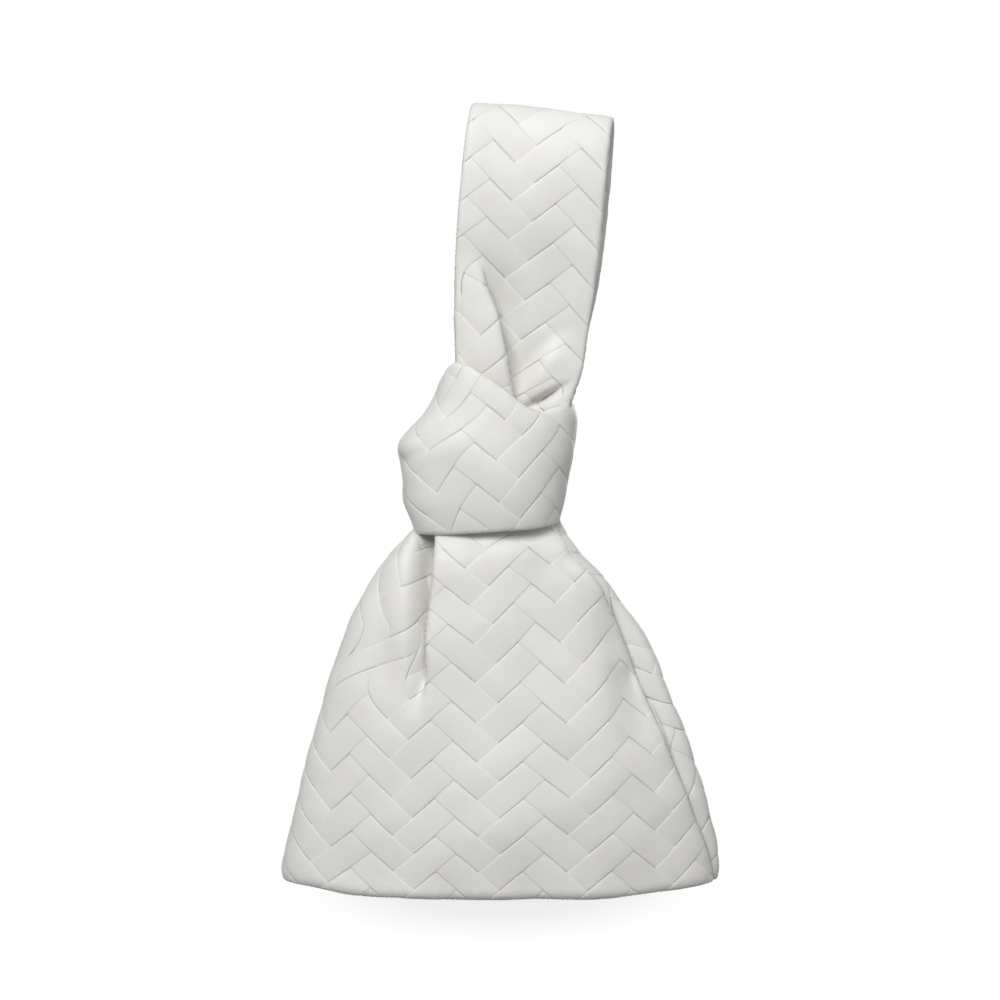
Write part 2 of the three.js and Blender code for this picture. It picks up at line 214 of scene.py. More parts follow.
def addSmooth(name, points, faces, material):
    mesh = makeMesh(name, points, faces)
    mesh.materials.append(material)
    mesh.shade_smooth()
    return addObject(name, mesh)


def setVectors(mesh, name, values):
    layer = mesh.attributes.new(name, "FLOAT_VECTOR", "POINT")
    layer.data.foreach_set("vector", np.asarray(values, np.float32).ravel())


# Node helpers

def node(tree, kind, inputs=(), **settings):
    made = tree.nodes.new(kind)
    for key, value in settings.items():
        setattr(made, key, value)
    for key, value in dict(inputs).items():
        if isinstance(value, bpy.types.NodeSocket):
            tree.links.new(value, made.inputs[key])
        else:
            made.inputs[key].default_value = value
    return made


def calc(tree, operation, *values):
    return node(tree, "ShaderNodeMath", enumerate(values), operation=operation).outputs[0]


def vectorCalc(tree, operation, *values):
    return node(tree, "ShaderNodeVectorMath", enumerate(values), operation=operation).outputs[0]


def plusShare(tree, first, second, share):
    return calc(tree, "ADD", first, calc(tree, "MULTIPLY", second, share))


def vector(tree, x, y, z):
    return node(tree, "ShaderNodeCombineXYZ", {"X": x, "Y": y, "Z": z}).outputs[0]


def mapped(tree, value, start, end, low=0.0, high=1.0, **settings):
    inputs = enumerate((value, start, end, low, high))
    return node(tree, "ShaderNodeMapRange", inputs, **settings).outputs[0]


def objectPlace(tree):
    return node(tree, "ShaderNodeTexCoord").outputs["Object"]


def noise(tree, place, scale, detail, **more):
    inputs = {"Vector": place, "Scale": scale, "Detail": detail, **more}
    return node(tree, "ShaderNodeTexNoise", inputs).outputs


def mixColor(tree, share, first, second, blend="MIX"):
    inputs = {0: share, 6: first, 7: second}
    return node(tree, "ShaderNodeMix", inputs, data_type="RGBA", blend_type=blend).outputs[2]


def newTree(name, kind, inputs, outputs):
    tree = bpy.data.node_groups.new(name, kind)
    for direction, sockets in (("INPUT", inputs), ("OUTPUT", outputs)):
        for label, valueKind, *default in sockets:
            socketKind = "NodeSocket" + valueKind
            socket = tree.interface.new_socket(label, in_out=direction, socket_type=socketKind)
            if default:
                socket.default_value = default[0]
    return tree, tree.nodes.new("NodeGroupInput").outputs, tree.nodes.new("NodeGroupOutput").inputs


# Shader groups that the finishes share, with each noise given as its scale and detail

pebbling = {"bend": 4 * mm, "bendNoise": (160.0, 2.0), "poreNoise": (2600.0, 3.0), "hollow": (0.35, 0.75)}
ageing = {"broadNoise": (14.0, 3.0), "smallNoise": (110.0, 4.0), "blotch": (0.2, 0.42)}


def leatherGrainGroup():
    # pebbled grain with fine pores, as a height and a mask of its hollows
    inputs = [("Scale", "Float", 900.0), ("Pores", "Float", 0.35)]
    outputs = [("Height", "Float"), ("Hollow", "Float")]
    tree, given, out = newTree("leatherGrain", "ShaderNodeTree", inputs, outputs)
    place = objectPlace(tree)
    bend = noise(tree, place, *pebbling["bendNoise"])["Color"]
    bend = vectorCalc(tree, "MULTIPLY", bend, (pebbling["bend"],) * 3)
    cells = {"Vector": vectorCalc(tree, "ADD", place, bend), "Scale": given["Scale"]}
    pebble = node(tree, "ShaderNodeTexVoronoi", cells, feature="SMOOTH_F1").outputs["Distance"]
    pore = noise(tree, place, *pebbling["poreNoise"])["Fac"]
    rounded = calc(tree, "SUBTRACT", 1.0, pebble)
    tree.links.new(plusShare(tree, rounded, pore, given["Pores"]), out["Height"])
    tree.links.new(mapped(tree, pebble, *pebbling["hollow"]), out["Hollow"])
    return tree


def agedToneGroup():
    # slow shifts of a pale colour: broad handling marks and small blotches
    inputs = [("Color", "Color", (0.8, 0.8, 0.8, 1)), ("Warm", "Color", (0.7, 0.66, 0.58, 1))]
    inputs.append(("Amount", "Float", 0.2))
    outputs = [("Color", "Color"), ("Blotch", "Float")]
    tree, given, out = newTree("agedTone", "ShaderNodeTree", inputs, outputs)
    place = objectPlace(tree)
    broad = noise(tree, place, *ageing["broadNoise"])["Fac"]
    small = noise(tree, place, *ageing["smallNoise"])["Fac"]
    blotch = mapped(tree, calc(tree, "MULTIPLY", broad, small), *ageing["blotch"])
    share = calc(tree, "MULTIPLY", blotch, given["Amount"])
    tree.links.new(mixColor(tree, share, given["Color"], given["Warm"]), out["Color"])
    tree.links.new(blotch, out["Blotch"])
    return tree


grainGroup = leatherGrainGroup()
toneGroup = agedToneGroup()


def shaderGroup(tree, group, inputs):
    return node(tree, "ShaderNodeGroup", inputs, node_tree=group).outputs


def agedMaterial(name, look):
    material = bpy.data.materials.new(name)
    material.use_nodes = True
    tree = material.node_tree
    tone = shaderGroup(tree, toneGroup, look["tone"])
    return material, tree, tree.nodes["Principled BSDF"].inputs, tone


def tinted(tree, colour, level):
    return mixColor(tree, 1.0, colour, vector(tree, level, level, level), "MULTIPLY")


def surfaced(tree, shader, look, colour, mask, height):
    # roughness follows the mask and the bump follows the height
    tree.links.new(colour, shader["Base Color"])
    tree.links.new(plusShare(tree, look["roughness"], mask, look["maskRoughness"]), shader["Roughness"])
    bump = node(tree, "ShaderNodeBump", {"Height": height, **look["bump"]})
    tree.links.new(bump.outputs[0], shader["Normal"])


warmWhite = (0.70, 0.675, 0.62, 1)
plaitLook = {
    "tone": {"Color": (0.785, 0.778, 0.745, 1), "Warm": warmWhite, "Amount": 0.28},
    "grain": {"Scale": 950.0, "Pores": 0.4},
    "stripLevel": (0.955, 1.02),  # darkest and palest strip
    # strips' sides are darkened toward this colour: partly their real edge ink, partly painted shade for
    # the gaps between strips
    "edge": (0.40, 0.385, 0.35, 1),
    "edgeInkAndShadeStart": 0.92,  # share of a strip's half width
    "edgeInkAndShadeShare": 0.2,
    "roughness": 0.5,
    "maskRoughness": 0.1,
    "hollowShare": 0.8,  # how much the grain's hollows add to the mask
    "specular": 0.34,
    "bump": {"Distance": 0.12 * mm, "Strength": 0.5},
}


def plaitedLeather():
    material, tree, shader, tone = agedMaterial("plaitedLeather", plaitLook)
    grain = shaderGroup(tree, grainGroup, plaitLook["grain"])
    strip = node(tree, "ShaderNodeAttribute", attribute_name="stripTone").outputs["Fac"]
    colour = tinted(tree, tone["Color"], mapped(tree, strip, 0.0, 1.0, *plaitLook["stripLevel"]))
    across = node(tree, "ShaderNodeAttribute", attribute_name="across").outputs["Fac"]
    # painted shade along each strip's edges, together with its edge ink
    rim = mapped(tree, calc(tree, "ABSOLUTE", across), plaitLook["edgeInkAndShadeStart"], 1.0)
    colour = mixColor(tree, calc(tree, "MULTIPLY", rim, plaitLook["edgeInkAndShadeShare"]), colour, plaitLook["edge"])
    mask = plusShare(tree, tone["Blotch"], grain["Hollow"], plaitLook["hollowShare"])
    surfaced(tree, shader, plaitLook, colour, mask, grain["Height"])
    shader["Specular IOR Level"].default_value = plaitLook["specular"]
    return material


plainLook = {
    "tone": {"Color": (0.735, 0.725, 0.69, 1), "Warm": warmWhite, "Amount": 0.5},
    "grain": {"Scale": 1200.0, "Pores": 0.5},
    "roughness": 0.48,
    "maskRoughness": 0.12,
    "bump": {"Distance": 0.1 * mm, "Strength": 0.5},
}


def plainLeather():
    material, tree, shader, tone = agedMaterial("plainLeather", plainLook)
    grain = shaderGroup(tree, grainGroup, plainLook["grain"])
    surfaced(tree, shader, plainLook, tone["Color"], tone["Blotch"], grain["Height"])
    return material


suedeLook = {
    "tone": {"Color": (0.62, 0.585, 0.52, 1), "Warm": (0.5, 0.46, 0.4, 1), "Amount": 0.6},
    "napNoise": (1500.0, 6.0),
    "napRoughness": 0.7,
    "napLevel": (0.3, 0.7, 0.86, 1.08),  # from these noise values to these shares of the colour
    "roughness": 0.86,
    "maskRoughness": 0.1,
    "sheen": 0.25,
    "bump": {"Distance": 0.3 * mm, "Strength": 0.6},
}


def suedeLining():
    material, tree, shader, tone = agedMaterial("suedeLining", suedeLook)
    nap = noise(tree, objectPlace(tree), *suedeLook["napNoise"], Roughness=suedeLook["napRoughness"])["Fac"]
    colour = tinted(tree, tone["Color"], mapped(tree, nap, *suedeLook["napLevel"]))
    surfaced(tree, shader, suedeLook, colour, tone["Blotch"], nap)
    shader["Sheen Weight"].default_value = suedeLook["sheen"]
    return material


boardLook = {
    "tone": {"Color": (0.36, 0.26, 0.16, 1), "Warm": (0.28, 0.19, 0.11, 1), "Amount": 0.8},
    "fibreNoise": (700.0, 5.0),
    "roughness": 0.75,
    "maskRoughness": 0.2,
    "bump": {"Distance": 0.2 * mm, "Strength": 0.5},
}


def pressedBoard():
    material, tree, shader, tone = agedMaterial("pressedBoard", boardLook)
    fibre = noise(tree, objectPlace(tree), *boardLook["fibreNoise"])["Fac"]
    surfaced(tree, shader, boardLook, tone["Color"], fibre, fibre)
    return material


leather = plaitedLeather()
binding = plainLeather()
suede = suedeLining()
board = pressedBoard()
print("finishes made")


# The plait: two families of leather strips on the bias, each over two and under two

plait = {
    "Strip Width": 14.2 * mm,
    "Strip Gap": -0.1 * mm,  # strips are a little wider than their pitch
    "Strip Thickness": 0.85 * mm,
    "Wave Height": 0.31 * mm,
    "Wave Sharpness": 2.2,
    "Crown": 0.15 * mm,
    "Edge Round": 0.33,
    "Lanes": 64,
    "Samples": 588,
    "Seed": 7,
    "sectionSides": 22,
    "probes": (-0.45, 0.0, 0.45),  # a strip runs on while these shares of its half width are on the sheet
    "familySeed": 500.0,  # keeps the two families' random tones apart
    "stretch": (0.95, 1.08),  # the plait lies a little flatter than square
    "wander": 0.7 * mm,  # strips laid by hand stray this far, over the next lengths
    "drift": (31 * mm, 23 * mm, 27 * mm, 19 * mm),
}


def plaitTree():
    inputs = [("Geometry", "Geometry"), ("Material", "Material")]
    inputs += [(name, "Int") for name in ("Lanes", "Samples", "Seed")]
    inputs += [(name, "Float") for name in ("Strip Width", "Strip Gap", "Strip Thickness", "Wave Height")]
    inputs += [(name, "Float") for name in ("Wave Sharpness", "Crown", "Edge Round")]
    tree, given, out = newTree("plaitedSheet", "GeometryNodeTree", inputs, [("Geometry", "Geometry")])

    def geo(kind, inputs=(), **settings):
        return node(tree, "GeometryNode" + kind, inputs, **settings).outputs[0]

    def stored(name):
        return geo("InputNamedAttribute", {"Name": name}, data_type="FLOAT_VECTOR")

    def times(first, second):
        return calc(tree, "MULTIPLY", first, second)

    def minus(first, second):
        return calc(tree, "SUBTRACT", first, second)

    width = given["Strip Width"]
    flatMap, outward = stored("flat"), stored("outward")
    position = geo("InputPosition")
    x, y, z = node(tree, "ShaderNodeSeparateXYZ", {0: position}).outputs

    def onSheet(value, place):
        sampled = {"Mesh": given["Geometry"], "Value": value, "UV Map": flatMap, "Sample UV": place}
        return node(tree, "GeometryNodeSampleUVSurface", sampled, data_type="FLOAT_VECTOR").outputs

    # section of a strip: a circle flattened to round edges and a slightly crowned face
    ring = geo("CurvePrimitiveCircle", {"Resolution": plait["sectionSides"], "Radius": 1.0})
    ring = geo("StoreNamedAttribute", {"Geometry": ring, "Name": "across", "Value": x})
    halfStrip = times(minus(width, given["Strip Gap"]), 0.5)
    rounded = calc(tree, "POWER", calc(tree, "ABSOLUTE", y), given["Edge Round"])
    depth = times(times(calc(tree, "SIGN", y), rounded), times(given["Strip Thickness"], 0.5))
    depth = minus(depth, times(minus(1.0, times(x, x)), given["Crown"]))
    ring = geo("SetPosition", {"Geometry": ring, "Position": vector(tree, times(x, halfStrip), depth, 0.0)})

    half = times(times(given["Lanes"], 0.5), width)
    laneStart = vector(tree, 0.0, minus(times(width, 0.5), half), 0.0)
    laneStep = vector(tree, 0.0, width, 0.0)
    lanes = {"Count": given["Lanes"], "Start Location": laneStart, "Offset": laneStep}
    lanes = geo("MeshLine", lanes, mode="OFFSET")
    lineStart = vector(tree, times(half, -1.0), 0.0, 0.0)
    line = {"Count": given["Samples"], "Start Location": lineStart, "Offset": vector(tree, half, 0.0, 0.0)}
    line = geo("MeshLine", line, mode="END_POINTS", count_mode="TOTAL")
    laid = geo("InstanceOnPoints", {"Points": lanes, "Instance": line})
    laid = geo("RealizeInstances", {"Geometry": laid})
    lane = calc(tree, "FLOOR", calc(tree, "DIVIDE", y, width))
    root = math.sqrt(0.5)  # strips run at 45 degrees

    families = []
    for turn, late in ((1.0, 0.0), (-1.0, 1.0)):  # the second family goes under where the first goes over
        phase = minus(minus(calc(tree, "DIVIDE", x, width), lane), late)
        wave = calc(tree, "SINE", times(phase, math.pi / 2))
        wave = calc(tree, "TANH", times(wave, given["Wave Sharpness"]))
        across = times(minus(x, y), turn * root)
        along = times(calc(tree, "ADD", x, y), root)
        draw = {"ID": calc(tree, "ADD", lane, turn * plait["familySeed"]), "Seed": given["Seed"]}
        tone = node(tree, "FunctionNodeRandomValue", draw, data_type="FLOAT").outputs[1]
        strips = geo("StoreNamedAttribute", {"Geometry": laid, "Name": "stripTone", "Value": tone})
        place = vector(tree, across, along, times(wave, given["Wave Height"]))
        strips = geo("SetPosition", {"Geometry": strips, "Position": place})
        middle = {"Geometry": strips, "Name": "middle", "Value": vector(tree, x, y, 0.0)}
        strips = geo("StoreNamedAttribute", middle, data_type="FLOAT_VECTOR")
        kept = True
        for side in plait["probes"]:
            reach = times(halfStrip, side * root)
            place = vector(tree, minus(x, times(reach, turn)), calc(tree, "ADD", y, reach), 0.0)
            both = {0: kept, 1: onSheet(position, place)["Is Valid"]}
            kept = node(tree, "FunctionNodeBooleanMath", both, operation="AND").outputs[0]
        gone = node(tree, "FunctionNodeBooleanMath", {0: kept}, operation="NOT").outputs[0]
        strips = geo("DeleteGeometry", {"Geometry": strips, "Selection": gone})
        strips = geo("MeshToCurve", {"Mesh": strips})
        strips = geo("SetCurveNormal", {"Curve": strips}, mode="Z_UP")
        families.append(geo("CurveToMesh", {"Curve": strips, "Profile Curve": ring, "Fill Caps": True}))

    joined = node(tree, "GeometryNodeJoinGeometry")
    for family in families:
        tree.links.new(family, joined.inputs[0])
    # a corner that would hang over the sheet's end keeps to the strip's middle line
    corner = vector(tree, x, y, 0.0)
    choice = {"Switch": onSheet(position, corner)["Is Valid"], "False": stored("middle"), "True": corner}
    place = geo("Switch", choice, input_type="VECTOR")
    lift = {0: onSheet(outward, place)["Value"], "Scale": z}
    lift = node(tree, "ShaderNodeVectorMath", lift, operation="SCALE").outputs[0]
    onto = vectorCalc(tree, "ADD", onSheet(position, place)["Value"], lift)
    done = geo("SetPosition", {"Geometry": joined.outputs[0], "Position": onto})
    done = geo("RemoveAttribute", {"Geometry": done, "Name": "middle"})
    done = geo("SetShadeSmooth", {"Geometry": done})
    done = geo("RealizeInstances", {"Geometry": done})
    done = geo("SetMaterial", {"Geometry": done, "Material": given["Material"]})
    tree.links.new(done, out["Geometry"])
    return tree


def grown(host, tree, values):
    # runs a node tree on a host object and keeps the result as a plain mesh
    modifier = host.modifiers.new(tree.name, "NODES")
    modifier.node_group = tree
    for item in tree.interface.items_tree:
        if item.in_out == "INPUT" and item.name in values:
            modifier[item.identifier] = values[item.name]
    evaluated = bpy.context.evaluated_depsgraph_get()
    seen = host.evaluated_get(evaluated)
    mesh = bpy.data.meshes.new_from_object(seen, preserve_all_data_layers=True, depsgraph=evaluated)
    host.modifiers.remove(modifier)
    old = host.data
    host.data = mesh
    bpy.data.meshes.remove(old)
    mesh.name = host.name
    return host


plaitSheet = plaitTree()


def flatPlan(across, along):  # where the sheet's points lie in the plait
    return np.stack([across, along], axis=-1) * plait["stretch"]


def acrossAndUp(points, middle):  # distances along the sheet from one column and from its foot
    length = runLength(points, 1)
    across = length - length[:, middle:middle + 1]
    return across, runLength(points, 0)[:, middle:middle + 1] + 0 * across


def plaited(name, points, flat, relief, rolledRows=(), wrap=False):
    rowCount, columnCount = points.shape[:2]
    faces = gridFaces(rowCount, columnCount, wrap)
    row, column = faces[:, 0] // columnCount, faces[:, 0] % columnCount
    atFoot = (row < lipCount) & ("foot" in rolledRows)
    atTop = (row >= rowCount - 1 - lipCount) & ("top" in rolledRows)
    atSide = (column < lipCount) | (column >= columnCount - 1 - lipCount)
    crossing = (atFoot | atTop) & atSide  # no sheet where two rolled edges would cross
    mesh = makeMesh(name, points, faces[~crossing])
    p, q = flat[..., 0], flat[..., 1]
    drift = plait["drift"]
    wander = [np.sin(q / drift[0] + p / drift[1]), np.sin(p / drift[2] - q / drift[3])]
    flat = flat + plait["wander"] * np.stack(wander, axis=-1)
    setVectors(mesh, "flat", np.concatenate([flat, 0 * flat[..., :1]], axis=-1))
    setVectors(mesh, "outward", outwardOf(points) * relief[..., None])
    piece = grown(addObject(name, mesh), plaitSheet, {**plait, "Material": leather})
    print(name, "plaited:", len(piece.data.polygons), "faces")
    return piece


# Linings lie over the rolled edges, measured in from the middle of the plait
suedeSheet = {"depth": 2.7 * mm, "wall": 0.8 * mm}


def liningSheet(name, points, depth=suedeSheet["depth"], wall=suedeSheet["wall"], wrap=False):
    # a closed sheet between two offsets of a grid
    outward = outwardOf(points)
    rowCount, columnCount = points.shape[:2]
    depth = np.asarray(depth)[..., None]
    shell = np.concatenate([points - depth * outward, points - (depth + wall) * outward])
    count = rowCount * columnCount
    outer = gridFaces(rowCount, columnCount, wrap)
    faces = [outer, outer[:, ::-1] + count]
    last = (rowCount - 1) * columnCount
    low = np.arange(columnCount if wrap else columnCount - 1)
    high = (low + 1) % columnCount
    faces.append(np.stack([high, low, low + count, high + count], axis=-1))
    faces.append(np.stack([low + last, high + last, high + last + count, low + last + count], axis=-1))
    if not wrap:
        near = np.arange(rowCount - 1) * columnCount
        far = near + columnCount
        faces.append(np.stack([near, far, far + count, near + count], axis=-1))
        near, far = near + columnCount - 1, far + columnCount - 1
        faces.append(np.stack([far, near, near + count, far + count], axis=-1))
    return addSmooth(name, shell, np.concatenate(faces), suede)


# Pouch: its two panels, from the base up into the knot

pouch = {
    "roll": 4.5 * mm,  # the panels turn under in this radius
    "rollStart": math.radians(25),  # below this the base panel takes over
    "rollRows": 10,
    "bodyRows": 190,
    "cornerRadius": 0.5 * mm,
    "cornerLift": 3.6 * mm,
    "cornerReach": (0.5, 1.05),  # shares of the half width between which the corners lift
    "footLift": 0.5 * mm,
    "liftEnd": neckZ / 3,  # both lifts fade out up to here
    "top": neckZ + 31 * mm,
    "leather": 0.9 * mm,  # skin to the middle of the plait
    # share of the height up to the knot, share of the half width or half depth there
    "leftEdge": [(0.03, 1.021), (0.055, 1.017), (0.08, 1.011), (0.107, 1.002), (0.153, 0.984),
                 (0.208, 0.965), (0.263, 0.941), (0.33, 0.914), (0.55, 0.815), (0.70, 0.732),
                 (0.756, 0.694), (0.81, 0.648), (0.865, 0.594), (0.92, 0.53), (0.974, 0.445),
                 (1.01, 0.385), (1.05, 0.345), (1.2, 0.32)],
    "rightEdge": [(0.03, 1.028), (0.055, 1.026), (0.08, 1.022), (0.107, 1.016), (0.153, 1.0),
                  (0.208, 0.978), (0.263, 0.955), (0.33, 0.921), (0.55, 0.788), (0.70, 0.681),
                  (0.756, 0.622), (0.81, 0.557), (0.865, 0.49), (0.92, 0.405), (0.974, 0.328),
                  (1.03, 0.28), (1.2, 0.26)],
    "depth": [(0.055, 0.955), (0.2, 0.99), (0.36, 0.955), (0.5, 0.895), (0.62, 0.83), (0.73, 0.765),
              (0.83, 0.7), (0.91, 0.645), (0.953, 0.585), (0.978, 0.52), (0.994, 0.43), (1.015, 0.37),
              (1.06, 0.35), (1.2, 0.35)],
    # the seams lie this many degrees round from the sides, by height
    "seamTurn": [(0, 13), (30 * mm, 21), (60 * mm, 26), (92 * mm, 31), (110 * mm, 34.5), (128 * mm, 33.5),
                 (150 * mm, 28), (176 * mm, 30), (195 * mm, 30)],
    "mouthFoot": 103 * mm,  # above this the seams are open
    "mouthEase": 12 * mm,  # they open over this height
    "tuck": 9 * mm,  # each panel runs on this far beneath the other's edge
    "tuckReach": (0.1, 0.95),  # shares of the way from the side to the seam
    # depth of that tuck by height, both in mm
    "tuckDepth": [(0, 4.4), (70, 5), (98, 10.5), (122, 10), (142, 7), (160, 4.2), (176, 2.6), (210, 2.2)],
    "footRun": 12 * mm,  # how far the foot runs back behind its rolled edge
}
leftEdge, rightEdge, depthLine = (through(pouch[key]) for key in ("leftEdge", "rightEdge", "depth"))
liningGrid = (slice(None, None, 2), slice(2, -2, 2))  # the linings take every other row and column


class Rows:  # the pouch's section at each height
    def __init__(self):
        turn = np.linspace(pouch["rollStart"], math.pi / 2, pouch["rollRows"], endpoint=False)
        climb = np.linspace(pouch["roll"], pouch["top"], pouch["bodyRows"])
        self.z = np.concatenate([pouch["roll"] * (1 - np.cos(turn)), climb])[:, None]
        drawnIn = np.concatenate([1 - np.sin(turn), 0 * climb])[:, None]
        share = np.maximum(self.z, pouch["roll"]) / neckZ
        inset = pouch["leather"] + pouch["cornerRadius"] * drawnIn
        left = inset - halfWidth * leftEdge(share)
        right = halfWidth * rightEdge(share) - inset
        self.middle = (left + right) / 2
        self.half = (right - left) / 2
        self.depth = halfDepth * depthLine(share) - pouch["leather"] - pouch["roll"] * drawnIn
        self.seam = np.radians(through(pouch["seamTurn"])(self.z))
        self.open = smooth(self.z, pouch["mouthFoot"], pouch["mouthFoot"] + pouch["mouthEase"])
        stride = np.hypot(self.half * np.sin(self.seam), self.depth * np.cos(self.seam))
        self.beyond = self.seam + pouch["tuck"] / stride


rows = Rows()


def cornerLift(share):
    return pouch["cornerLift"] * smooth(np.abs(share), *pouch["cornerReach"])


def onPouch(angle, towards):
    # angle 0 at the right-hand side, pi at the left; towards is -1 for the front and 1 for the back
    x = rows.middle + rows.half * np.cos(angle)
    y = towards * rows.depth * np.sin(angle)
    lift = pouch["footLift"] + cornerLift(np.cos(angle))
    z = rows.z + lift * (1 - smooth(rows.z, 0, pouch["liftEnd"]))
    return np.stack([x, y, z], axis=-1)


def tucked(points, past):
    # past is how far an angle lies round the side, from 0 at the side to 1 at the seam
    depth = through(pouch["tuckDepth"])(rows.z / mm) * mm
    return points - (depth * smooth(past, *pouch["tuckReach"]))[..., None] * outwardOf(points)


def splitColumns(first, split, last, counts, crowd):
    # angles from first to last, crowded near the split
    near = np.linspace(0, 1, counts[0], endpoint=False)
    far = np.linspace(0, 1, counts[1])
    before = first + (split - first) * (1 - (1 - near) ** crowd)
    after = split + (last - split) * far ** crowd
    return np.concatenate([before, after], axis=1)


def panelSheet(skin):
    return withRolledSides(withRolledFoot(skin, outwardOf(skin), pouch["footRun"]))


def downToFoot(values):  # repeats the lowest row's value for the rolled foot
    return np.pad(values, ((lipCount, 0), (0, 0)), mode="edge")


front = {
    # the knife pleat left of the middle: its fold line from its end up to the knot
    "pleatLine": [(92 * mm, -38 * mm), (120 * mm, -32 * mm), (144 * mm, -28.4 * mm), (176 * mm, -25.6 * mm),
                  (200 * mm, -24.5 * mm)],
    "pleatEnd": 86 * mm,
    "pleatFull": 134 * mm,
    "pleatOverlap": 3.2,
    "pleatSpread": 6.5 * mm,
    # how far the leather stands out, by distance from the fold line, both in mm
    "pleatProfile": [(-46, 0), (-32, 1.0), (-25, 3.0), (-18, 2.8), (-13.5, -1.6), (-10, -8), (-6, -11.6),
                     (-2.5, -10.4), (0, -4), (2.5, 0), (5, 1.5), (9, 2.2), (16, 2.0), (30, 0.8), (46, 0)],
    "pleatDeeper": (0.3, 140 * mm, neckZ - 6 * mm),  # share added between two heights
    "pleatFlatter": (0.4, neckZ, neckZ + 14 * mm),  # share taken away inside the knot
    "channelNarrow": 0.5,  # the channel's width at the pleat's end, as a share of its width at the knot
    "channelFull": neckZ - 8 * mm,
    "facing": (2 * mm, 8 * mm),  # folds fade out between these depths, round the sides
    # the pleat opens out below its end
    "opening": {"out": 1.4 * mm, "x": -50 * mm, "wide": 14 * mm, "z": 82 * mm, "high": 15 * mm},
    # shallow valley by the mouth's foot
    "valley": {"x": 57 * mm, "z": 118 * mm, "slant": -0.3, "depth": 6.6 * mm, "width": 9 * mm,
               "rise": (56 * mm, 112 * mm), "fall": (122 * mm, 150 * mm)},
    # gathers below the knot, clear of the pleat
    "flutes": {"out": 0.7 * mm, "across": 5.2 * mm, "rise": (140 * mm, 176 * mm),
               "clear": (4 * mm, 12 * mm)},
    # drawn in under the knot, right of the pleat
    "drawnIn": {"depth": 2.6 * mm, "aboveNeck": 3 * mm, "high": 6 * mm, "from": (-8 * mm, 14 * mm)},
    "sway": {"out": 0.9 * mm, "across": 31 * mm, "left": 1.0, "up": 27 * mm, "low": 0.0},
    # short creases, in mm: their ends, depth, half width, and the step from one side to the other
    "creases": [
        {"start": (28, 169), "end": (44, 160), "depth": 3.4, "width": 1.5, "step": 3.4},
        {"start": (57, 133), "end": (64, 104), "depth": 2.2, "width": 2.6, "step": 0.8},
        {"start": (-31, 140), "end": (-33.5, 116), "depth": 2.4, "width": 2.4, "step": 0},
    ],
    "creaseIn": (0.0, 0.35),  # shares of a crease's length in which it deepens and runs out
    "creaseOut": (0.65, 1.4),
    "stepReach": 3,  # times the crease's half width
    # the mouth's edge stands off
    "gape": {"out": 3.0 * mm, "more": 3.0 * mm, "z": 156 * mm, "high": 15 * mm, "width": 9 * mm,
             "sideways": 0.5, "forward": 0.85},
    "columns": (92, 118),  # left and right of the fold line
    "crowd": 1.5,
    "splitLimit": 0.95,  # keeps the fold line off the sides
    "heightColumn": 160,  # the plait's height is measured along this column
    "plaitTurn": math.radians(30),  # the plait turns more upright beside the pleat
    "turnRise": (78 * mm, 165 * mm),
    "turnHidden": 7 * mm,  # the shift that this brings is hidden in the fold, within this width
    # the plait lies flatter along the fold
    "pleatCalm": {"share": 0.55, "width": 6 * mm, "rise": (95 * mm, 120 * mm)},
    "linedCloser": 1.75 * mm,  # the lining is folded in with the pleat
    "linedWidth": 22 * mm,
}


def creased(points):
    x, z = points[..., 0] / mm, points[..., 2] / mm
    out = 0.0
    for crease in front["creases"]:
        (x0, z0), (x1, z1), width = crease["start"], crease["end"], crease["width"]
        run = math.hypot(x1 - x0, z1 - z0)
        along = ((x - x0) * (x1 - x0) + (z - z0) * (z1 - z0)) / run ** 2
        off = ((x - x0) * (z1 - z0) - (z - z0) * (x1 - x0)) / run
        step = crease["step"] * np.tanh(off / width) * bell(off, front["stepReach"] * width)
        fold = crease["depth"] * bell(off, width) + step
        out = out - fold * smooth(along, *front["creaseIn"]) * (1 - smooth(along, *front["creaseOut"]))
    return out * mm


def pleatDepth(z):
    more, *moreRise = front["pleatDeeper"]
    less, *lessRise = front["pleatFlatter"]
    return 1 + more * smooth(z, *moreRise) - less * smooth(z, *lessRise)


def frontFolds(points, toEdge):
    x, y, z = axesOf(points)
    facing = smooth(-y, *front["facing"])
    gap = x - through(front["pleatLine"])(z)
    strength = smooth(z, front["pleatEnd"], front["pleatFull"]) * facing
    narrow = front["channelNarrow"]
    width = narrow + (1 - narrow) * smooth(z, front["pleatEnd"], front["channelFull"])
    folded = np.where(gap < 0, gap / width, gap)
    out = strength * pleatDepth(z) * through(front["pleatProfile"])(folded / mm) * mm
    x -= front["pleatOverlap"] * strength * gap * bell(gap, front["pleatSpread"])
    opening = front["opening"]
    opened = bell(x - opening["x"], opening["wide"]) * bell(z - opening["z"], opening["high"])
    out += opening["out"] * opened
    valley = front["valley"]
    hollow = bell(besideLine(x, z, valley), valley["width"]) * smooth(z, *valley["rise"])
    out -= valley["depth"] * hollow * (1 - smooth(z, *valley["fall"]))
    flutes = front["flutes"]
    fluted = smooth(z, *flutes["rise"]) * np.sin(x / flutes["across"]) * smooth(gap, *flutes["clear"])
    out += flutes["out"] * fluted
    drawn = front["drawnIn"]
    out -= drawn["depth"] * bell(z - neckZ - drawn["aboveNeck"], drawn["high"]) * smooth(x, *drawn["from"])
    out += sway(x, z, front["sway"])
    out += creased(points) * facing
    gape = front["gape"]
    stand = gape["out"] + gape["more"] * bell(rows.z - gape["z"], gape["high"])
    stand = stand * rows.open * (1 - smooth(toEdge, 0, gape["width"]))
    x += stand * gape["sideways"]
    y -= out + stand * gape["forward"]
    return np.stack([x, y, z], axis=-1)


